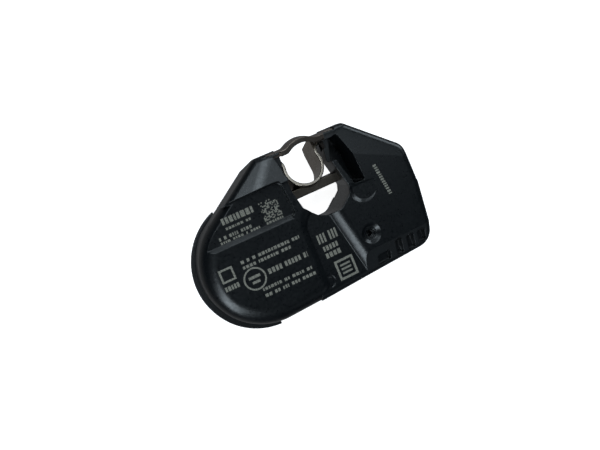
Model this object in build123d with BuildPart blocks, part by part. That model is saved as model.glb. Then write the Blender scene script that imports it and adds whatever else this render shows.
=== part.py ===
"""Tyre pressure sensor body with a sprung steel valve clip.

Millimetres. +Z is up, out of the marked face; +X runs along the length, away
from the round cell end; +Y points to the side that carries the valve clip.
The origin is the middle of the footprint, on the resting face.
"""

import math
import os

from build123d import *

os.makedirs("parts", exist_ok=True)

# ---------------------------------------------------------------- dimensions
OX, OY = -2.86, 1.48          # drawing point, from the middle of the footprint

Z_SEAM = 1.6                  # base plate thickness, seam with the housing
Z_TOP = 14.2                  # highest plastic, between label pocket and clip
Z_CHANNEL = 12.1              # floor of the channel below the valve slot
Z_RIGHT = 13.8                # deck at the square end
DECK_LEFT, DECK_RIGHT = 11.4, 13.0      # label deck at X = -25 and X = 0.6
POCKET = 0.9                  # label pocket below the deck
Z_CEIL = 9.7                  # inside ceiling
Z_CEIL_R = 10.5               # inside ceiling at the square end

R_END, END = 16.0, (-10.9, -4.65)       # round cell end of the housing
R_RIM, RIM = 17.48, (-10.55, -5.72)      # rim of the base plate round it
EDGE_R = 4.2                  # soft outer edge of the label deck
SHOULDER_R = 4.0              # swell between channel and square end
FALL_R = 4.0                  # soft fall of the label deck to the channel

VALVE = (7.15, 12.9)          # valve axis at the height Z_VALVE
Z_VALVE = 10.8
LEAN = -17.6                  # lean of the valve axis, degrees; its foot is nearer the body
R_VALVE = 4.45                # half the width of the valve neck
T_SPRING = 0.8                # omega spring stock
SPRING_TOP = 4.95             # outer side of the spring shoulders, from the axis
SPRING_NECK = 15.0            # where the ring of the spring turns out, degrees
SPRING_Z = (1.75, 10.8)
SPRING_FOOT = 3.2             # width of the shoulders, along the axis
SPRING_LIMB = 6.2             # length of the straight limbs below them
SPRING_LOW = 0.4              # lowest point of the spring
SADDLE = (7.9, 7.05)          # cross bar behind the ring
SADDLE_Z = (7.4, 10.8)
T_STRAP = 1.3                 # strap stock
STRAP = (7.68, 11.7)          # middle of the strap arch, half way up the strap
STRAP_IN = 5.73               # inner side of the strap wings, from there
STRAP_Z = (9.4, 13.5)
STRAP_LEAN = 7.0              # lean of the strap, degrees
WING_ROOF = 12.55             # top of the wings, below their plastic roofs
WING_X = 6.3                  # where the right roof starts, from the arch
WING_L = 5.4                  # where the left roof starts

SLOT_DRAFT = 4.5              # the valve slot widens downwards, degrees
WALL_LEAN = 0.15              # run-out of its wall below the rib, per mm of depth
WALL_KNEE, WALL_FOOT = 5.2, 0.45        # the same below the deep pocket
RIB_LOW = 9.6                 # rib beside the slot, where the spring passes

PORT = (16.05, -9.25)         # pressure port
CELL, R_CELL = (-11.4, -4.8), 10.0
CELL_Z = (1.95, 6.95)
BOARD_Z = (7.3, 8.1)


def at(z):
    """Drawing plane at a height."""
    return Plane((OX, OY, z))


def valve_at(z):
    """Plane square to the leaning valve axis, at a height."""
    a = math.radians(LEAN)
    y = VALVE[1] + (Z_VALVE - z) * math.tan(a)
    return Plane((OX + VALVE[0], OY + y, z), x_dir=(1, 0, 0),
                 z_dir=(0, -math.sin(a), math.cos(a)))


def along_valve(z0, z1):
    return (z1 - z0) / math.cos(math.radians(LEAN))


def strap_at(z):
    """Plane square to the leaning strap, at a height of the strap's wings."""
    a = math.radians(STRAP_LEAN)
    wing = STRAP_IN + T_STRAP / 2
    y = STRAP[1] + wing * (1 - math.cos(a)) + (11.4 - z) * math.tan(a)
    return Plane((OX + STRAP[0], OY + y, z - wing * math.sin(a)), x_dir=(1, 0, 0),
                 z_dir=(0, -math.sin(a), math.cos(a)))


def tilted(point, slope_x=0.0, slope_y=0.0):
    """Plane through a point whose height rises slope_x along X and slope_y along Y."""
    n = Vector(-slope_x, -slope_y, 1)
    return Plane((point[0] + OX, point[1] + OY, point[2]),
                 x_dir=(1, 0, slope_x), z_dir=n)


def outline_wire():
    """Plan outline of the moulding, drawn inside a line builder."""
    a0 = 123.9
    start = (END[0] + R_END * math.cos(math.radians(a0)),
             END[1] + R_END * math.sin(math.radians(a0)))
    end = (END[0], END[1] - R_END)
    CenterArc(END, R_END, a0, 270 - a0)
    FilletPolyline(end, (32.2, -18.6), (33.75, -2.3), (33.3, 7.85), (20.3, 19.1),
                   (-4.1, 19.2), start, radius=(4.4, 0, 3.6, 2.2, 1.6))


def slot_wire():
    """Plan of the valve slot at the top, open at the clip side."""
    FilletPolyline((2.2, 30), (2.1, 16.0), (1.2, 12.6), (1.25, 8.4), (2.35, 3.6),
                   (5.5, 0.5), (7.6, -0.5), (11.2, -0.5), (14.8, 2.3), (15.3, 3.9),
                   (13.35, 11.4), (13.9, 16.0), (13.9, 30), close=True,
                   radius=(0, 1, 1, 1, 1.6, 2.0, 2.0, 2.0, 0.8, 0.8, 0.6, 1, 0))


UNDERCUT = Plane((OX, OY + 19.0, 8.8), x_dir=(1, 0, 0), z_dir=(0, 8.8, -2.8))
UNDERCUT_SIDE = Plane((OX - 11.0, OY + 14.56, 3.8), x_dir=(0.830, 0.558, 0),
                      z_dir=(-0.558, 0.830, -0.3))


DECK_SLOPE = (DECK_RIGHT - DECK_LEFT) / 25.6

# ------------------------------------------------------- housing, four swells
with BuildPart() as lobe_left:
    with BuildSketch(at(Z_SEAM)):
        with BuildLine():
            outline_wire()
        make_face()
        with BuildLine():
            FilletPolyline((3.1, -30), (3.1, -1.2), (6.3, 2.0), (6.3, 12.3),
                           (-40, 12.3), (-40, -30), close=True,
                           radius=(0, 3.0, 0, 0, 0, 0))
        make_face(mode=Mode.INTERSECT)
    extrude(amount=14)
    split(bisect_by=tilted((-25, 0, DECK_LEFT), DECK_SLOPE), keep=Keep.BOTTOM)
    deck = faces().filter_by(lambda f: f.normal_at().Z > 0.9).sort_by(Axis.Z)[-1]
    fall = [e for e in deck.edges() if e.center().X - OX > 2.9
            and e.center().Y - OY < 1.9]
    fillet(fall, radius=FALL_R)
    deck = faces().filter_by(lambda f: f.normal_at().Z > 0.9).sort_by(Axis.Z)[-1]
    fillet([e for e in deck.edges() if e.center().X - OX < -1.0
            and e.center().Y - OY < 12.2], radius=EDGE_R)

with BuildPart() as channel:
    with BuildSketch(at(Z_SEAM)):
        with BuildLine():
            outline_wire()
        make_face()
        with BuildLine():
            Polyline((-1.5, 3.0), (13.0, 3.0), (16.0, -13.0), (16.0, -30), (-1.5, -30),
                     close=True)
        make_face(mode=Mode.INTERSECT)
    extrude(amount=Z_CHANNEL - Z_SEAM)
    top = faces().sort_by(Axis.Z)[-1]
    fillet([top.edges().sort_by(Axis.Y)[0]], radius=2.0)

with BuildPart() as lobe_right:
    # drawn across the swell and drawn out along it
    run = Vector(3.69, -16.5, 0).normalized()
    across = Vector(16.5, 3.69, 0).normalized()
    start = Vector(OX + 6.55, OY + 3.2, 0) - run * 45
    with BuildSketch(Plane(start, x_dir=across, z_dir=run)):
        with BuildLine():
            FilletPolyline((0, Z_SEAM), (0, Z_RIGHT), (60, Z_RIGHT), (60, Z_SEAM),
                           close=True, radius=(0, SHOULDER_R, 0, 0))
        make_face()
    extrude(amount=90)
    with BuildSketch(at(Z_SEAM)):
        with BuildLine():
            outline_wire()
        make_face()
        with BuildLine():
            Polyline((-5, -30), (60, -30), (60, 40), (12.4, 40), (12.4, 3.2), (-5, 3.2),
                     close=True)
        make_face(mode=Mode.INTERSECT)
    extrude(amount=14, mode=Mode.INTERSECT)
    # long facet that falls away towards the slanting edge, bevel at the long edge
    split(bisect_by=tilted((21.9, 9.9, Z_RIGHT), -0.067, -0.145), keep=Keep.BOTTOM)
    split(bisect_by=tilted((0, -13.0, Z_RIGHT), 0, 0.35), keep=Keep.BOTTOM)
    tops = faces().filter_by(lambda f: f.normal_at().Z > 0.5)
    rim_edges = [e for f in tops for e in f.edges()
                 if e.center().X - OX > 13.0 and
                 len([1 for g in tops if any(e.is_same(k) for k in g.edges())]) == 1]
    fillet(rim_edges, radius=2.0)

with BuildPart() as block_left:
    with BuildSketch(at(Z_SEAM)):
        with BuildLine():
            outline_wire()
        make_face()
        with BuildLine():
            Polyline((-30, 11.4), (2.9, 11.4), (2.9, 30), (-30, 30), close=True)
        make_face(mode=Mode.INTERSECT)
    extrude(amount=14)
    split(bisect_by=tilted((0, 12.05, Z_TOP), 0.0, -0.2), keep=Keep.BOTTOM)
    # broad bevel along the slanting edge
    split(bisect_by=tilted((-17.0, 12.0, 11.2), 0.296, -0.463), keep=Keep.BOTTOM)
    ridge = [e for e in edges().filter_by(GeomType.LINE)
             if e.center().Z > 11.0 and e.center().Y - OY > 12.6
             and e.center().X - OX < 2.5]
    crease = [e for e in ridge if e.center().Z > 12.8 and e.center().X - OX < 0]
    fillet(crease, radius=7.0)
    outer = [e for e in edges() if e.center().Z > 10.8 and e.center().Y - OY > 12.6
             and e.center().X - OX < 2.5 and
             any(abs(f.normal_at().Z) < 0.02 and abs(f.normal_at().X) < 0.95
                 and any(e.is_same(k) for k in f.edges()) for f in faces())]
    fillet(outer, radius=2.0)

# --------------------------------------------------------------------- clip
with BuildPart() as clip_strap:
    r_in = 5.7
    r_out = r_in + T_STRAP
    yc = 1.3
    y0, y1 = STRAP_IN, STRAP_IN + T_STRAP
    xo = math.sqrt(r_out ** 2 - (y1 - yc) ** 2)
    xi = math.sqrt(r_in ** 2 - (y0 - yc) ** 2)
    rise = (STRAP_Z[1] - STRAP_Z[0]) / math.cos(math.radians(STRAP_LEAN))
    with BuildSketch(strap_at(STRAP_Z[0])):
        with BuildLine():
            Polyline((-xo, y1), (-8.9, y1), (-8.9, y0), (-xi, y0))
            ThreePointArc((-xi, y0), (0, yc + r_in), (xi, y0))
            Polyline((xi, y0), (9.8, y0), (9.8, y1), (xo, y1))
            ThreePointArc((xo, y1), (0, yc + r_out), (-xo, y1))
        make_face()
        fillet([v for v in vertices() if abs(abs(v.X) - xo) < 0.01], radius=2.4)
        fillet([v for v in vertices() if abs(abs(v.X) - xi) < 0.01], radius=1.2)
    extrude(amount=rise)
    with BuildSketch(strap_at(WING_ROOF)):
        with Locations((WING_X + 10, 5), (-WING_L - 10, 5)):
            Rectangle(20, 20)
    extrude(amount=5, mode=Mode.SUBTRACT)
    corner = edges().filter_by(lambda e: e.length < T_STRAP + 0.01 and
                               (e.center().X - OX < -1.1 or e.center().X - OX > 17.3))
    fillet(corner, radius=0.9)
    rims = faces().filter_by(lambda f: abs(f.normal_at().Z) > 0.9)
    fillet([e for f in rims for e in f.edges()
            if abs(e.center().X - OX - STRAP[0] - WING_X) > 0.05
            and abs(e.center().X - OX - STRAP[0] + WING_L) > 0.05], radius=0.2)
clip_strap.part.label = "clip_strap"

with BuildPart() as clip_spring:
    rm = R_VALVE + T_SPRING / 2
    h = T_SPRING / 2
    # straight limbs
    with BuildSketch(valve_at(SPRING_Z[0])):
        with BuildLine():
            Polyline((-rm + h, 0), (-rm + h, SPRING_LIMB), (-rm - h, SPRING_LIMB), (-rm - h, 0))
            ThreePointArc((-rm - h, 0), (0, -rm - h), (rm + h, 0))
            Polyline((rm + h, 0), (rm + h, SPRING_LIMB), (rm - h, SPRING_LIMB), (rm - h, 0))
            ThreePointArc((rm - h, 0), (0, -rm + h), (-rm + h, 0))
        make_face()
    extrude(amount=along_valve(*SPRING_Z) - SPRING_FOOT)
    split(bisect_by=Plane((0, 0, SPRING_LOW)), keep=Keep.TOP)
    # shoulders bent out at the top
    a = math.radians(SPRING_NECK)
    top_y = SPRING_TOP - h
    rf = (top_y - rm * math.sin(a)) / (1 + math.sin(a))
    fx, fy = (rm + rf) * math.cos(a), (rm + rf) * math.sin(a)
    turn = 180 + 2 * SPRING_NECK
    with BuildSketch(valve_at(SPRING_Z[1] - SPRING_FOOT * math.cos(math.radians(LEAN)))):
        with BuildLine():
            CenterArc((0, 0), rm - h, SPRING_NECK, -turn)
            CenterArc((fx, fy), rf + h, 180 + SPRING_NECK, -90 - SPRING_NECK)
            Line((fx, fy + rf + h), (fx, fy + rf - h))
            CenterArc((fx, fy), rf - h, 90, 90 + SPRING_NECK)
            CenterArc((0, 0), rm + h, SPRING_NECK, -turn)
            CenterArc((-fx, fy), rf - h, -SPRING_NECK, 90 + SPRING_NECK)
            Line((-fx, fy + rf - h), (-fx, fy + rf + h))
            CenterArc((-fx, fy), rf + h, 90, -90 - SPRING_NECK)
        make_face()
    extrude(amount=SPRING_FOOT)
    # the limbs run on, straight, to below the strap
    with BuildSketch(valve_at(SPRING_Z[1] - SPRING_FOOT * math.cos(math.radians(LEAN)))):
        with Locations((rm, (2.4 + SPRING_LIMB) / 2), (-rm, (2.4 + SPRING_LIMB) / 2)):
            Rectangle(T_SPRING, SPRING_LIMB - 2.4)
    extrude(amount=SPRING_FOOT - 0.4)
    rim = faces().sort_by(Axis((0, 0, 0), tuple(valve_at(0).z_dir)))[-1]
    fillet(rim.edges().filter_by(GeomType.CIRCLE), radius=0.25)
clip_spring.part.label = "clip_spring"

with BuildPart() as clip_saddle:
    with BuildSketch(at(SADDLE_Z[0])):
        with Locations(SADDLE):
            Rectangle(15.0, 2.3)
    extrude(amount=SADDLE_Z[1] - SADDLE_Z[0])
    with BuildSketch(valve_at(SPRING_Z[0])):
        Circle(R_VALVE + T_SPRING)
    extrude(amount=14, mode=Mode.SUBTRACT)
    fillet(edges().filter_by(Axis.X), radius=0.2)
clip_saddle.part.label = "clip_saddle"

# ------------------------------------------------------------------ housing
with BuildPart() as housing:
    add(lobe_left.part)
    add(lobe_right.part)
    add(channel.part)
    add(block_left.part)
    # walls lean in below the clip and below the slanting edge
    split(bisect_by=UNDERCUT, keep=Keep.BOTTOM)
    split(bisect_by=UNDERCUT_SIDE, keep=Keep.BOTTOM)
    # small step in the square end
    with BuildSketch(at(0)):
        with Locations((33.2 + 5, -1.9 + 15)):
            Rectangle(10, 30)
    extrude(amount=20, mode=Mode.SUBTRACT)

    # valve slot, right through and open at the clip side
    with BuildSketch(at(0)):
        with BuildLine():
            slot_wire()
        make_face()
        offset(amount=13 * math.tan(math.radians(SLOT_DRAFT)), kind=Kind.INTERSECTION)
    extrude(amount=13, taper=SLOT_DRAFT, mode=Mode.SUBTRACT)
    with BuildSketch(at(12.9)):
        with BuildLine():
            slot_wire()
        make_face()
    extrude(amount=10, mode=Mode.SUBTRACT)
    # the wall below the rib leans away
    with BuildSketch(at(13.0)):
        with BuildLine():
            Polyline((8.0, 1.0), (13.2, 1.0), (14.75, 2.3), (15.25, 3.9), (14.8, 5.7),
                     (8.0, 5.7), close=True)
        make_face()
    extrude(amount=14, dir=(WALL_LEAN, 0, -1), mode=Mode.SUBTRACT)
    # below the deep pocket it leans further
    with BuildSketch(at(WALL_KNEE)):
        with BuildLine():
            Polyline((8.0, 6.2), (15.3, 6.2), (14.0, 11.2), (8.0, 11.2), close=True)
        make_face()
    extrude(amount=8, dir=(WALL_FOOT, 0, -1), mode=Mode.SUBTRACT)
    # room for the shoulders of the spring, roofed on the left
    with BuildSketch(valve_at(SPRING_Z[1] - 3.6 * math.cos(math.radians(LEAN)))):
        with Locations((0, 3.7)):
            Rectangle(2 * 7.45, 3.2)
    extrude(amount=4.0, mode=Mode.SUBTRACT)
    with BuildSketch(at(11.8)):
        with BuildLine():
            FilletPolyline((0.15, 18.0), (0.95, 12.5), (3.5, 12.5), (3.5, 18.0),
                           close=True, radius=0.3)
        make_face()
    extrude(amount=10, mode=Mode.SUBTRACT)
    # rib beside the slot, low where the spring passes
    with BuildSketch(at(RIB_LOW)):
        with BuildLine():
            Polyline((12.5, 11.4), (15.6, 11.2), (17.0, 16.8), (12.5, 16.8), close=True)
        make_face()
    extrude(amount=10, mode=Mode.SUBTRACT)

    # label pocket, level with the deck, its lower side a slope
    with BuildSketch(tilted((0, 0, DECK_RIGHT - 0.6 * DECK_SLOPE - POCKET), DECK_SLOPE)):
        with BuildLine():
            FilletPolyline((-40, 3.2), (0.05, 3.2), (-0.6, 12.0), (-40, 12.0),
                           close=True, radius=(0, 0.6, 1.4, 0))
        make_face()
    extrude(amount=6, taper=-8, mode=Mode.SUBTRACT)
    with BuildSketch(Plane((OX, OY, 0), x_dir=(0, 1, 0), z_dir=(1, 0, DECK_SLOPE))):
        z0 = DECK_RIGHT - 0.6 * DECK_SLOPE
        with BuildLine():
            Polyline((3.3, z0 - POCKET), (2.3, z0), (1.4, z0 + 0.9), (3.3, z0 + 0.9),
                     close=True)
        make_face()
    extrude(amount=-40, mode=Mode.SUBTRACT)

    # deep pocket beside the rib, with its round foot
    with BuildSketch(at(6.2)):
        with BuildLine():
            FilletPolyline((16.1, 17.0), (17.4, 17.0), (19.2, 11.3), (19.85, 3.8),
                           (16.75, 4.05), (14.6, 11.2), close=True,
                           radius=(0.4, 0.6, 1.0, 0.5, 0.5, 0.4))
        make_face()
        offset(amount=-7 * math.tan(math.radians(2)), kind=Kind.INTERSECTION)
    extrude(amount=12, taper=-2, mode=Mode.SUBTRACT)
    with BuildSketch(tilted((19.0, 2.2, Z_RIGHT - 0.42), 0.14, -0.03)):
        Circle(3.1)
        with Locations((0, 1.0 + 5)):
            Rectangle(20, 10, mode=Mode.SUBTRACT)
    extrude(amount=1.2, taper=-52, mode=Mode.SUBTRACT)

    # pressure port: dish, bore and filter seat
    with BuildSketch(at(Z_RIGHT - 0.7)):
        with Locations(PORT):
            Circle(1.7)
    extrude(amount=1, taper=-53, mode=Mode.SUBTRACT)
    with BuildSketch(at(Z_RIGHT - 1.5)):
        with Locations(PORT):
            Circle(1.3)
    extrude(amount=2, mode=Mode.SUBTRACT)

    # core-outs along the long edge
    with BuildSketch(at(Z_RIGHT - 2.9)):
        for pts in (((15.5, -17.9), (15.9, -15.4), (19.4, -15.3), (19.1, -17.8)),
                    ((21.3, -17.8), (21.4, -13.7), (23.1, -13.6), (23.1, -17.8)),
                    ((24.8, -17.9), (24.7, -14.0), (26.6, -13.9), (26.7, -17.8)),
                    ((28.0, -17.3), (28.0, -14.1), (30.1, -14.0), (30.0, -17.2))):
            with BuildLine():
                FilletPolyline(*pts, close=True, radius=0.35)
            make_face()
    extrude(amount=10, taper=-3, mode=Mode.SUBTRACT)

    # witness of an ejector pin
    with BuildSketch(at(Z_CHANNEL - 0.18)):
        with Locations((1.6, -16.0)):
            Circle(1.7)
            Circle(1.05, mode=Mode.SUBTRACT)
        with Locations((1.7 - 5, -16.0)):
            Rectangle(10, 10, mode=Mode.SUBTRACT)
    extrude(amount=3, mode=Mode.SUBTRACT)

    # seats for the clip
    with BuildSketch(strap_at(STRAP_Z[0])):
        with BuildLine():
            Polyline((-WING_L, STRAP_IN), (WING_X, STRAP_IN), (WING_X, 14), (-WING_L, 14),
                     close=True)
        make_face()
    extrude(amount=30, mode=Mode.SUBTRACT)
    with BuildSketch(strap_at(STRAP_Z[0])):
        with BuildLine():
            Polyline((-8.95, STRAP_IN), (9.85, STRAP_IN), (9.85, 14), (-8.95, 14),
                     close=True)
        make_face()
    extrude(amount=(WING_ROOF - STRAP_Z[0]) / math.cos(math.radians(STRAP_LEAN)),
            mode=Mode.SUBTRACT)
    with BuildSketch(strap_at(STRAP_Z[0])):
        with BuildLine():
            Polyline((-8.95, STRAP_IN + T_STRAP), (9.85, STRAP_IN + T_STRAP),
                     (9.85, 14), (-8.95, 14), close=True)
        make_face()
    extrude(amount=30, mode=Mode.SUBTRACT)
    with BuildSketch(at(SADDLE_Z[0])):
        with Locations(SADDLE):
            Rectangle(15.0, 2.3)
    extrude(amount=SADDLE_Z[1] - SADDLE_Z[0], mode=Mode.SUBTRACT)

    # inside
    with BuildSketch(at(Z_SEAM)):
        with Locations((END[0], END[1] - 0.4)):
            Circle(14.3)
        with Locations((-0.9 + 50, -2.6 + 50)):
            Rectangle(100, 100, mode=Mode.SUBTRACT)
        with BuildLine():
            FilletPolyline((-10, -17.9), (13.4, -17.2), (13.4, -12.4), (31.9, -12.4),
                           (31.9, -3.6), (-10, -2.6), close=True, radius=1.0)
        make_face()
    extrude(amount=Z_CEIL - Z_SEAM, mode=Mode.SUBTRACT)
    with BuildSketch(at(Z_SEAM)):
        with BuildLine():
            FilletPolyline((22.2, -12.4), (31.9, -12.4), (31.9, 3.0), (22.2, 3.0),
                           close=True, radius=1.0)
        make_face()
    extrude(amount=Z_CEIL_R - Z_SEAM, mode=Mode.SUBTRACT)
    with BuildSketch(at(Z_CEIL - 0.5)):
        with Locations(PORT):
            Circle(2.0)
    extrude(amount=0.8, mode=Mode.SUBTRACT)
    with BuildSketch(at(Z_CEIL - 0.5)):
        with Locations(PORT):
            Circle(0.8)
    extrude(amount=5, mode=Mode.SUBTRACT)
housing.part.label = "housing"

# --------------------------------------------------------------- base cover
with BuildPart() as base_cover:
    with BuildSketch(at(0)):
        with BuildLine():
            outline_wire()
        make_face()
    extrude(amount=Z_SEAM)
    split(bisect_by=UNDERCUT, keep=Keep.BOTTOM)
    split(bisect_by=UNDERCUT_SIDE, keep=Keep.BOTTOM)
    with BuildSketch(at(0)):
        with Locations((33.2 + 5, -1.9 + 15)):
            Rectangle(10, 30)
    extrude(amount=20, mode=Mode.SUBTRACT)
    # rim round the cell end
    with BuildSketch(at(0)):
        with Locations(RIM):
            Circle(R_RIM)
        with BuildLine():
            Polyline((-11.6, -30), (-11.6, -6), (-16.7, -6), (-16.7, 30), (-40, 30),
                     (-40, -30), close=True)
        make_face(mode=Mode.INTERSECT)
    extrude(amount=Z_SEAM)
    with BuildSketch(at(-1)):
        with BuildLine():
            slot_wire()
        make_face()
        offset(amount=13 * math.tan(math.radians(SLOT_DRAFT)), kind=Kind.INTERSECTION)
    extrude(amount=5, mode=Mode.SUBTRACT)
    with BuildSketch(at(13.0)):
        with BuildLine():
            Polyline((8.0, 1.0), (13.2, 1.0), (14.75, 2.3), (15.25, 3.9), (14.8, 5.7),
                     (8.0, 5.7), close=True)
        make_face()
    extrude(amount=14, dir=(WALL_LEAN, 0, -1), mode=Mode.SUBTRACT)
    with BuildSketch(at(WALL_KNEE)):
        with BuildLine():
            Polyline((8.0, 6.2), (15.3, 6.2), (14.0, 11.2), (8.0, 11.2), close=True)
        make_face()
    extrude(amount=8, dir=(WALL_FOOT, 0, -1), mode=Mode.SUBTRACT)
    # seat of the cell cushion
    with BuildSketch(at(1.1)):
        with Locations(CELL):
            Circle(R_CELL + 0.6)
    extrude(amount=2, mode=Mode.SUBTRACT)
    # locating lip inside the round end
    with BuildSketch(at(Z_SEAM)):
        with Locations((END[0], END[1] - 0.4)):
            Circle(14.15)
            Circle(13.2, mode=Mode.SUBTRACT)
        with Locations((50 - 1.5, 50 - 4.5)):
            Rectangle(100, 100, mode=Mode.SUBTRACT)
        with Locations((50 - 9.0, -50)):
            Rectangle(100, 100, mode=Mode.SUBTRACT)
    extrude(amount=1.4)
    # posts that carry the board
    with BuildSketch(at(Z_SEAM)):
        with Locations((11.6, -15.4), (30.2, -10.8), (30.2, 1.4)):
            Circle(1.2)
    extrude(amount=BOARD_Z[0] - Z_SEAM)
    # shallow ring and panel on the resting face
    with BuildSketch(at(0)):
        with Locations(CELL):
            Circle(12.4)
            Circle(11.7, mode=Mode.SUBTRACT)
        with Locations((23.6, -7.0)):
            RectangleRounded(14.0, 12.0, 2.0)
    extrude(amount=0.3, mode=Mode.SUBTRACT)
base_cover.part.label = "base_cover"

# ------------------------------------------------------------------- inside
with BuildPart() as circuit_board:
    with BuildSketch(at(BOARD_Z[0])):
        with Locations((END[0], END[1] - 0.4)):
            Circle(13.8)
        with Locations((-1.5 + 50, -3.2 + 50)):
            Rectangle(100, 100, mode=Mode.SUBTRACT)
        with BuildLine():
            FilletPolyline((-9, -17.1), (12.9, -16.6), (12.9, -11.9), (31.4, -11.9),
                           (31.4, 2.5), (22.7, 2.5), (22.7, -4.2), (-9, -3.2),
                           close=True, radius=0.8)
        make_face()
        with Locations((2.55, -8.0), (3.85, -13.0)):
            Rectangle(0.4, 3.2, mode=Mode.SUBTRACT)
    extrude(amount=BOARD_Z[1] - BOARD_Z[0])
circuit_board.part.label = "circuit_board"

with BuildPart() as coin_cell:
    with BuildSketch(at(CELL_Z[0])):
        with Locations(CELL):
            Circle(R_CELL)
    extrude(amount=4.1)
    fillet(edges().group_by(Axis.Z)[0], radius=0.6)
    with BuildSketch(at(CELL_Z[0] + 4.1)):
        with Locations(CELL):
            Circle(R_CELL - 1.0)
    extrude(amount=0.9)
    fillet(edges().group_by(Axis.Z)[-1], radius=0.3)
coin_cell.part.label = "coin_cell"

with BuildPart() as cell_cushion:
    with BuildSketch(at(1.1)):
        with Locations(CELL):
            Circle(R_CELL + 0.2)
    extrude(amount=0.68)
cell_cushion.part.label = "cell_cushion"

with BuildPart() as cell_insulator:
    with BuildSketch(at(CELL_Z[1] + 0.16)):
        with Locations(CELL):
            Circle(R_CELL - 0.4)
    extrude(amount=0.16)
cell_insulator.part.label = "cell_insulator"

with BuildPart() as cell_tab_top:
    with BuildSketch(at(CELL_Z[1])):
        with Locations((-1.2, -8.0)):
            Rectangle(7.7, 3.0)
    extrude(amount=0.15)
    with BuildSketch(at(CELL_Z[1])):
        with Locations((2.575, -8.0)):
            Rectangle(0.15, 3.0)
    extrude(amount=1.6)
cell_tab_top.part.label = "cell_tab_top"

with BuildPart() as cell_tab_bottom:
    with BuildSketch(at(CELL_Z[0] - 0.15)):
        with Locations((-2.0, -13.0)):
            Rectangle(11.9, 3.0)
    extrude(amount=0.15)
    with BuildSketch(at(CELL_Z[0] - 0.15)):
        with Locations((3.875, -13.0)):
            Rectangle(0.15, 3.0)
    extrude(amount=6.75)
cell_tab_bottom.part.label = "cell_tab_bottom"

TOP = BOARD_Z[1]

with BuildPart() as sensor_chip:
    with BuildSketch(at(TOP)):
        with Locations((PORT[0], -9.0)):
            Rectangle(5.0, 5.0)
    extrude(amount=1.0)
    chamfer(edges().group_by(Axis.Z)[-1], length=0.15)
    with BuildSketch(at(TOP + 0.6)):
        with Locations(PORT):
            Circle(0.5)
    extrude(amount=1, mode=Mode.SUBTRACT)
sensor_chip.part.label = "sensor_chip"

with BuildPart() as port_gasket:
    with BuildSketch(at(TOP + 1.0)):
        with Locations(PORT):
            Circle(1.8)
            Circle(0.9, mode=Mode.SUBTRACT)
    extrude(amount=Z_CEIL - TOP - 1.0)
port_gasket.part.label = "port_gasket"

with BuildPart() as port_filter:
    with BuildSketch(at(Z_CEIL)):
        with Locations(PORT):
            Circle(1.9)
    extrude(amount=0.25)
port_filter.part.label = "port_filter"

with BuildPart() as lf_coil_core:
    for x, w in ((23.9, 1.2), (29.7, 1.2)):
        with BuildSketch(at(TOP)):
            with Locations((x, -1.0)):
                Rectangle(w, 2.8)
        extrude(amount=2.2)
    with BuildSketch(at(TOP + 0.5)):
        with Locations((26.8, -1.0)):
            Rectangle(6.0, 1.4)
    extrude(amount=1.2)
lf_coil_core.part.label = "lf_coil_core"

with BuildPart() as lf_coil_winding:
    with BuildSketch(at(TOP + 0.2)):
        with Locations((26.8, -1.0)):
            Rectangle(4.4, 2.3)
    extrude(amount=1.8)
    fillet(edges().filter_by(Axis.X), radius=0.4)
    with BuildSketch(at(TOP + 0.5)):
        with Locations((26.8, -1.0)):
            Rectangle(6.0, 1.4)
    extrude(amount=1.2, mode=Mode.SUBTRACT)
lf_coil_winding.part.label = "lf_coil_winding"

with BuildPart() as radio_antenna:
    with BuildSketch(at(TOP)):
        with BuildLine():
            FilletPolyline((20.2, -5.2), (28.6, -5.2), (28.6, -11.2), (20.2, -11.2),
                           (20.2, -10.85), (28.25, -10.85), (28.25, -5.55),
                           (20.2, -5.55), close=True, radius=0.05)
        make_face()
    extrude(amount=1.4)
radio_antenna.part.label = "radio_antenna"

with BuildPart() as crystal:
    with BuildSketch(at(TOP)):
        with Locations((9.0, -6.6)):
            RectangleRounded(3.2, 2.5, 0.3)
    extrude(amount=0.8)
crystal.part.label = "crystal"

with BuildPart() as capacitors:
    with BuildSketch(at(TOP)):
        with Locations((6.0, -10.5), (8.6, -10.5), (11.2, -10.5), (6.0, -14.6),
                       (11.6, -7.0), (-2.0, -12.6), (-4.6, -12.6)):
            Rectangle(1.6, 0.8)
    extrude(amount=0.8)
capacitors.part.label = "capacitors"

with BuildPart() as resistors:
    with BuildSketch(at(TOP)):
        with Locations((6.0, -12.6), (8.6, -12.6), (11.2, -12.6), (-7.4, -12.6)):
            Rectangle(1.6, 0.8)
    extrude(amount=0.45)
resistors.part.label = "resistors"

with BuildPart() as inductors:
    with BuildSketch(at(TOP)):
        with Locations((30.2, -7.2), (30.2, -4.4)):
            Rectangle(1.2, 2.0)
    extrude(amount=1.2)
inductors.part.label = "inductors"

for piece in (housing, base_cover, clip_strap, clip_spring, clip_saddle,
              circuit_board, coin_cell, cell_cushion, cell_insulator,
              cell_tab_top, cell_tab_bottom, sensor_chip, port_gasket,
              port_filter, lf_coil_core, lf_coil_winding, radio_antenna,
              crystal, capacitors, resistors, inductors):
    export_step(piece.part, "parts/%s.step" % piece.part.label)
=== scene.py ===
import math
import random

import bpy
import numpy as np
from mathutils import Matrix, Vector


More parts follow.
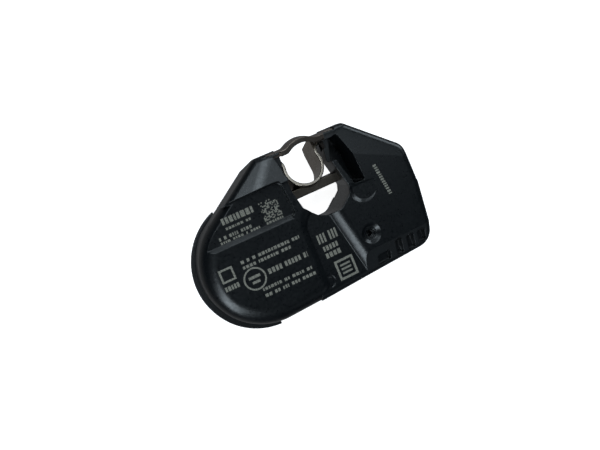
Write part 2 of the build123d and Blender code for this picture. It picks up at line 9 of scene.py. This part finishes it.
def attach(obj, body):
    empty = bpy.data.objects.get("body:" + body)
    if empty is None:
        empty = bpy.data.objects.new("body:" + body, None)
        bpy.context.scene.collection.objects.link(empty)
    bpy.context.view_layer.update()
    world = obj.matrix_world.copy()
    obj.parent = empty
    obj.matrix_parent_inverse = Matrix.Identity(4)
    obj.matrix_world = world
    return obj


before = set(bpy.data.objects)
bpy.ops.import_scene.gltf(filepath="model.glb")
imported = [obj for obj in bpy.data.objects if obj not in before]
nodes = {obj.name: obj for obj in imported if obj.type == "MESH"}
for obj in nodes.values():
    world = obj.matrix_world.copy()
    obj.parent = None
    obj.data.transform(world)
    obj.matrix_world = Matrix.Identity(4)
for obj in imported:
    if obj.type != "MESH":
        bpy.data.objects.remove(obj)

OX, OY = -2.86, 1.48            # drawing point of the plan, mm from the origin
MM = 0.001


def put_size():
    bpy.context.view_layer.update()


put_size()

# ------------------------------------------------------------------ materials


def new_material(name):
    m = bpy.data.materials.new(name)
    m.use_nodes = True
    t = m.node_tree
    t.nodes.clear()
    out = t.nodes.new("ShaderNodeOutputMaterial")
    b = t.nodes.new("ShaderNodeBsdfPrincipled")
    t.links.new(b.outputs["BSDF"], out.inputs["Surface"])
    return m, t, b


def coords(t):
    c = t.nodes.new("ShaderNodeTexCoord")
    return c.outputs["Object"]


def noise(t, vec, scale, detail=4.0, rough=0.55, stretch=None):
    n = t.nodes.new("ShaderNodeTexNoise")
    n.inputs["Scale"].default_value = scale
    n.inputs["Detail"].default_value = detail
    n.inputs["Roughness"].default_value = rough
    if stretch:
        mp = t.nodes.new("ShaderNodeMapping")
        mp.inputs["Scale"].default_value = stretch
        t.links.new(vec, mp.inputs["Vector"])
        vec = mp.outputs["Vector"]
    t.links.new(vec, n.inputs["Vector"])
    return n.outputs["Fac"]


def ramp(t, fac, stops):
    r = t.nodes.new("ShaderNodeValToRGB")
    e = r.color_ramp.elements
    while len(e) < len(stops):
        e.new(0.5)
    for el, (p, c) in zip(e, stops):
        el.position = p
        el.color = (c[0], c[1], c[2], 1) if not isinstance(c, float) else (c, c, c, 1)
    t.links.new(fac, r.inputs["Fac"])
    return r.outputs["Color"]


def bump(t, height, strength, distance, normal=None):
    b = t.nodes.new("ShaderNodeBump")
    b.inputs["Strength"].default_value = strength
    b.inputs["Distance"].default_value = distance
    t.links.new(height, b.inputs["Height"])
    if normal is not None:
        t.links.new(normal, b.inputs["Normal"])
    return b.outputs["Normal"]


def moulded(name, dark, light, rough, grain=0.30, spec=0.5, edge=0.0003):
    """Spark-textured moulding: fine pits, faint flow clouds, uneven sheen, soft corners."""
    m, t, b = new_material(name)
    v = coords(t)
    cloud = noise(t, v, 140.0, 3.0)
    fine = noise(t, v, 5200.0, 2.0, 0.6)
    mid = noise(t, v, 1500.0, 3.0, 0.6)
    t.links.new(ramp(t, cloud, [(0.3, dark), (0.7, light)]), b.inputs["Base Color"])
    t.links.new(ramp(t, mid, [(0.3, rough - 0.05), (0.7, rough + 0.07)]), b.inputs["Roughness"])
    soft = t.nodes.new("ShaderNodeBevel")
    soft.samples = 8
    soft.inputs["Radius"].default_value = edge
    n1 = bump(t, fine, grain, 0.00002, soft.outputs["Normal"])
    n2 = bump(t, mid, grain * 0.5, 0.00004, n1)
    t.links.new(n2, b.inputs["Normal"])
    b.inputs["Specular IOR Level"].default_value = spec
    return m


def metal(name, dark, light, rough, stretch=(1, 1, 1), scale=900.0, grain=0.15):
    """Rolled strip: streaks along the rolling direction, faint stains."""
    m, t, b = new_material(name)
    v = coords(t)
    streak = noise(t, v, scale, 4.0, 0.6, stretch)
    stain = noise(t, v, 260.0, 3.0)
    t.links.new(ramp(t, stain, [(0.3, dark), (0.7, light)]), b.inputs["Base Color"])
    t.links.new(ramp(t, streak, [(0.3, rough - 0.07), (0.7, rough + 0.09)]), b.inputs["Roughness"])
    t.links.new(bump(t, streak, grain, 0.00003), b.inputs["Normal"])
    b.inputs["Metallic"].default_value = 1.0
    return m


def plain(name, dark, light, rough, scale=600.0, metallic=0.0, grain=0.2):
    m, t, b = new_material(name)
    v = coords(t)
    n = noise(t, v, scale, 3.0)
    t.links.new(ramp(t, n, [(0.3, dark), (0.7, light)]), b.inputs["Base Color"])
    t.links.new(ramp(t, n, [(0.3, rough - 0.05), (0.7, rough + 0.06)]), b.inputs["Roughness"])
    t.links.new(bump(t, n, grain, 0.00003), b.inputs["Normal"])
    b.inputs["Metallic"].default_value = metallic
    return m


def dress(node, mat):
    o = nodes[node]
    o.data.materials.clear()
    o.data.materials.append(mat)


housing_mat = moulded("housing_moulding", (0.0012, 0.0019, 0.0025), (0.0022, 0.0031, 0.0039), 0.31, 0.16)
cover_mat = moulded("cover_moulding", (0.0022, 0.0025, 0.0029), (0.0036, 0.0039, 0.0044), 0.45)
strap_mat = metal("strap_strip", (0.155, 0.125, 0.105), (0.21, 0.175, 0.15), 0.34, (1, 18, 18), 900.0, 0.10)
spring_mat = metal("spring_strip", (0.25, 0.213, 0.176), (0.325, 0.283, 0.236), 0.30, (3, 3, 1), 900.0, 0.05)
saddle_mat = metal("saddle_bar", (0.075, 0.063, 0.050), (0.115, 0.10, 0.083), 0.36, (1, 12, 12), 900.0, 0.10)

dress("housing", housing_mat)
dress("base_cover", cover_mat)
dress("clip_strap", strap_mat)
dress("clip_spring", spring_mat)
dress("clip_saddle", saddle_mat)
dress("circuit_board", plain("board_mask", (0.012, 0.07, 0.03), (0.02, 0.11, 0.045), 0.4))
cell_mat = metal("cell_can", (0.55, 0.55, 0.53), (0.64, 0.64, 0.62), 0.28, (1, 1, 10))
dress("coin_cell", cell_mat)
dress("cell_cushion", plain("cushion_foam", (0.03, 0.03, 0.03), (0.07, 0.07, 0.07), 0.85, 2500, 0, 0.6))
dress("cell_insulator", plain("insulator_film", (0.55, 0.42, 0.16), (0.65, 0.52, 0.22), 0.35))
tab_mat = metal("tab_nickel", (0.52, 0.51, 0.48), (0.62, 0.61, 0.57), 0.32, (1, 12, 1))
dress("cell_tab_top", tab_mat)
dress("cell_tab_bottom", tab_mat)
dress("sensor_chip", plain("chip_resin", (0.010, 0.010, 0.011), (0.02, 0.02, 0.021), 0.55, 3000))
dress("port_gasket", plain("gasket_silicone", (0.36, 0.10, 0.07), (0.46, 0.14, 0.09), 0.5, 1800))
dress("port_filter", plain("filter_membrane", (0.10, 0.10, 0.10), (0.16, 0.16, 0.16), 0.8, 6000, 0, 0.6))
dress("lf_coil_core", plain("core_ferrite", (0.02, 0.02, 0.02), (0.04, 0.04, 0.04), 0.5, 2500))
dress("lf_coil_winding", metal("winding_wire", (0.45, 0.18, 0.07), (0.60, 0.26, 0.10), 0.35, (60, 1, 1)))
dress("radio_antenna", metal("antenna_strip", (0.62, 0.42, 0.20), (0.72, 0.52, 0.27), 0.3, (1, 1, 12)))
dress("crystal", metal("crystal_can", (0.6, 0.6, 0.58), (0.68, 0.68, 0.66), 0.3))
dress("capacitors", plain("capacitor_ceramic", (0.30, 0.20, 0.12), (0.42, 0.31, 0.20), 0.5, 1500))
dress("resistors", plain("resistor_ceramic", (0.015, 0.015, 0.018), (0.03, 0.03, 0.035), 0.4, 1500))
dress("inductors", plain("inductor_ferrite", (0.06, 0.055, 0.05), (0.10, 0.095, 0.09), 0.5, 1500))

mark_mat, mt, mb = new_material("laser_mark")
mv = coords(mt)
mn = noise(mt, mv, 3800.0, 3.0, 0.65)
mt.links.new(ramp(mt, mn, [(0.32, (0.09, 0.087, 0.074)), (0.62, (0.27, 0.26, 0.22))]), mb.inputs["Base Color"])
mt.links.new(ramp(mt, mn, [(0.3, 0.72), (0.7, 0.9)]), mb.inputs["Roughness"])
mt.links.new(bump(mt, mn, 0.5, 0.00003), mb.inputs["Normal"])
mb.inputs["Specular IOR Level"].default_value = 0.2

# --------------------------------------------------------------- laser marks
DECK_SLOPE = (13.0 - 11.4) / 25.6


def on_deck(x, y):
    return 11.4 + (x + 25.0) * DECK_SLOPE


def in_pocket(x, y):
    return on_deck(x, y) - 0.9


def on_channel(x, y):
    return 12.1


def on_right(x, y):
    return 13.8


class Marks:
    """Thin foamed marks, collected into one mesh."""

    def __init__(self, surface, lift=0.03, sink=0.05):
        self.surface, self.lift, self.sink = surface, lift, sink
        self.v, self.f = [], []

    def poly(self, pts):
        n, k = len(self.v), len(pts)
        for dz in (-self.sink, self.lift):
            for x, y in pts:
                self.v.append(((x + OX) * MM, (y + OY) * MM, (self.surface(x, y) + dz) * MM))
        self.f.append([n + i for i in reversed(range(k))])
        self.f.append([n + k + i for i in range(k)])
        for i in range(k):
            j = (i + 1) % k
            self.f.append([n + i, n + j, n + k + j, n + k + i])

    def bar(self, x0, y0, x1, y1):
        self.poly([(x0, y0), (x1, y0), (x1, y1), (x0, y1)])

    def frame(self, x0, y0, x1, y1, w):
        self.bar(x0, y0, x1, y0 + w)
        self.bar(x0, y1 - w, x1, y1)
        self.bar(x0, y0 + w, x0 + w, y1 - w)
        self.bar(x1 - w, y0 + w, x1, y1 - w)

    def ring(self, cx, cy, r, w, a0=0.0, a1=360.0, n=48):
        n = max(6, int(n * (a1 - a0) / 360.0))
        for i in range(n):
            a = math.radians(a0 + (a1 - a0) * i / n)
            b = math.radians(a0 + (a1 - a0) * (i + 1) / n)
            q = r - w
            self.poly([(cx + q * math.cos(a), cy + q * math.sin(a)),
                       (cx + r * math.cos(a), cy + r * math.sin(a)),
                       (cx + r * math.cos(b), cy + r * math.sin(b)),
                       (cx + q * math.cos(b), cy + q * math.sin(b))])

    def row(self, x0, x1, y0, y1, seed, gap=0.28, wmin=0.35, wmax=1.0, word=0.16):
        """A line of plain strokes of uneven length: a marking with nothing to read."""
        rng = random.Random(seed)
        x = x0
        while x < x1 - 0.15:
            w = min(rng.uniform(wmin, wmax), x1 - x)
            self.bar(x, y0, x + w, y1)
            x += w + gap + (0.55 if rng.random() < word else 0.0)

    def done(self, name):
        me = bpy.data.meshes.new(name)
        me.from_pydata(self.v, [], self.f)
        me.update()
        o = bpy.data.objects.new(name, me)
        bpy.context.scene.collection.objects.link(o)
        me.materials.append(mark_mat)
        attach(o, "root")
        return o


pocket = Marks(in_pocket)
pocket.row(-17.2, -9.0, 7.6, 9.2, 3, 0.30, 0.5, 1.1, 0.0)
pocket.row(-16.9, -10.4, 6.2, 6.8, 5, 0.22, 0.3, 0.7)
pocket.row(-19.4, -10.9, 4.35, 5.15, 7, 0.24, 0.3, 0.8)
pocket.row(-19.4, -8.9, 3.42, 3.98, 9, 0.22, 0.3, 0.7)
rng = random.Random(41)
cell = 4.72 / 14
for i in range(14):
    for j in range(14):
        if rng.random() < 0.52:
            x = -7.42 + i * cell
            y = 4.32 + j * cell
            pocket.bar(x, y, x + cell * 0.94, y + cell * 0.94)
pocket.row(-7.3, -2.6, 3.42, 3.98, 11, 0.2, 0.3, 0.7)
pocket.done("marks_pocket")

deck = Marks(on_deck)
deck.frame(-22.9, -5.3, -19.3, -1.9, 0.5)
deck.row(-22.9, -19.3, -7.4, -6.2, 13, 0.22, 0.4, 0.8, 0)
deck.row(-17.0, -1.4, -2.7, -1.9, 15, 0.24, 0.3, 0.8)
deck.row(-17.0, -4.2, -4.1, -3.35, 17, 0.24, 0.3, 0.8)
deck.ring(-15.3, -7.25, 2.87, 0.42)
deck.bar(-16.8, -7.1, -13.8, -6.4)
deck.bar(-16.3, -8.4, -14.3, -7.75)
deck.row(-11.7, -1.1, -7.7, -6.4, 19, 0.30, 0.5, 0.9)
deck.row(-14.6, -1.0, -10.95, -10.2, 21, 0.24, 0.3, 0.8)
deck.row(-14.6, -1.0, -12.6, -11.8, 23, 0.24, 0.3, 0.8)
deck.done("marks_deck")

chan = Marks(on_channel)
for x in (2.8, 3.65, 4.5, 6.0, 6.85, 7.7):
    chan.bar(x, -6.5, x + 0.5, -4.1)
chan.row(3.3, 7.4, -8.7, -7.4, 31, 0.3, 0.5, 0.9, 0)
chan.row(3.3, 7.4, -10.6, -9.3, 33, 0.3, 0.5, 0.9, 0)
chan.frame(4.5, -17.3, 9.7, -12.1, 0.6)
for y in (-16.0, -14.95, -13.9):
    chan.bar(5.7, y, 8.5, y + 0.5)
chan.done("marks_channel")

side = Marks(on_right)
rng = random.Random(77)
y = 6.3
while y > -2.2:
    h = rng.uniform(0.25, 0.6)
    x = 22.9 + (6.3 - y) * 0.172
    side.bar(x, y - h, x + 0.95, y)
    y -= h + 0.25
side.done("marks_side")

# --------------------------------------------------------------------- stage
me = bpy.data.meshes.new("floor")
s = 1.6
me.from_pydata([(-s, -s, 0), (s, -s, 0), (s, s, 0), (-s, s, 0)], [], [(0, 1, 2, 3)])
floor = bpy.data.objects.new("floor", me)
bpy.context.scene.collection.objects.link(floor)
floor.location.z = -0.00002
fm, ft, fb = new_material("floor_paper")
fv = coords(ft)
fn = noise(ft, fv, 30.0, 3.0)
ft.links.new(ramp(ft, fn, [(0.2, (0.90, 0.90, 0.90)), (0.8, (0.93, 0.93, 0.93))]), fb.inputs["Base Color"])
fb.inputs["Roughness"].default_value = 0.9
ft.links.new(ramp(ft, fn, [(0.2, (0.97, 0.97, 0.97)), (0.8, (1.0, 1.0, 1.0))]), fb.inputs["Emission Color"])
fb.inputs["Emission Strength"].default_value = 0.95
fb.inputs["Specular IOR Level"].default_value = 0.1
me.materials.append(fm)
floor.visible_glossy = False

scene = bpy.context.scene
scene.view_settings.view_transform = "Standard"

world = bpy.data.worlds.new("studio")
scene.world = world
world.use_nodes = True
wt = world.node_tree
wt.nodes.clear()
wo = wt.nodes.new("ShaderNodeOutputWorld")
bg = wt.nodes.new("ShaderNodeBackground")
tc = wt.nodes.new("ShaderNodeTexCoord")
sep = wt.nodes.new("ShaderNodeSeparateXYZ")
wt.links.new(tc.outputs["Generated"], sep.inputs[0])
wr = wt.nodes.new("ShaderNodeValToRGB")
el = wr.color_ramp.elements
el[0].position, el[0].color = 0.22, (0.18, 0.185, 0.19, 1)
el[1].position, el[1].color = 0.46, (0.022, 0.028, 0.036, 1)
half = wt.nodes.new("ShaderNodeMath")
half.operation = "MULTIPLY_ADD"
half.inputs[1].default_value = 0.5
half.inputs[2].default_value = 0.5
wt.links.new(sep.outputs["Z"], half.inputs[0])
wt.links.new(half.outputs[0], wr.inputs["Fac"])
wt.links.new(wr.outputs["Color"], bg.inputs["Color"])
bg.inputs["Strength"].default_value = 1.0
wt.links.new(bg.outputs["Background"], wo.inputs["Surface"])


def softbox(name, direction, dist, size, power, colour=(1, 1, 1)):
    l = bpy.data.lights.new(name, "AREA")
    l.shape = "RECTANGLE"
    l.size, l.size_y = size
    l.energy = power
    l.color = colour
    o = bpy.data.objects.new(name, l)
    d = Vector(direction).normalized()
    o.location = d * dist
    o.rotation_euler = (-d).to_track_quat("-Z", "Y").to_euler()
    scene.collection.objects.link(o)
    return o


COOL = (0.80, 0.92, 1.0)
softbox("overhead", (-0.13, 0.55, 0.82), 0.70, (0.42, 0.30), 1.95, COOL)
softbox("overhead_right", (0.30, 0.23, 0.93), 0.70, (0.40, 0.20), 0.36, COOL)
softbox("left", (-0.60, -0.50, 0.63), 0.70, (0.20, 0.56), 2.75, COOL)
softbox("far_side", (0.30, 0.93, 0.20), 0.70, (0.40, 0.20), 0.70, COOL)
softbox("front", (0.40, -0.75, 0.52), 0.70, (0.40, 0.25), 0.09, COOL)
softbox("right", (0.86, 0.40, 0.30), 0.70, (0.30, 0.28), 1.10, COOL)

# -------------------------------------------------------------------- camera
TARGET = Vector(((0.0 + OX) * MM, (0.0 + OY) * MM, 13.0 * MM))
DIST = 170.0 * MM
SIDE, UP, ROLL = 15.0, 9.0, 25.0
sx, sy = math.sin(math.radians(SIDE)), math.sin(math.radians(UP))
back = Vector((-sx, sy, math.sqrt(1 - sx * sx - sy * sy)))
fwd = -back
r = Vector((1, 0, 0))
r = (r - fwd * r.dot(fwd)).normalized()
u = r.cross(fwd)
a = math.radians(ROLL)
right = r * math.cos(a) - u * math.sin(a)
up = r * math.sin(a) + u * math.cos(a)
cam = bpy.data.cameras.new("camera")
cam.sensor_width = 36.0
cam.lens = 4.1 * 170.0 * 36.0 / 600.0
cam.clip_start = 0.005
cam.shift_x, cam.shift_y = -0.6 / 600.0, 0.6 / 600.0
co = bpy.data.objects.new("camera", cam)
m = Matrix((right, up, back)).transposed().to_4x4()
m.translation = TARGET + back * DIST
co.matrix_world = m
scene.collection.objects.link(co)
scene.camera = co

put_size()
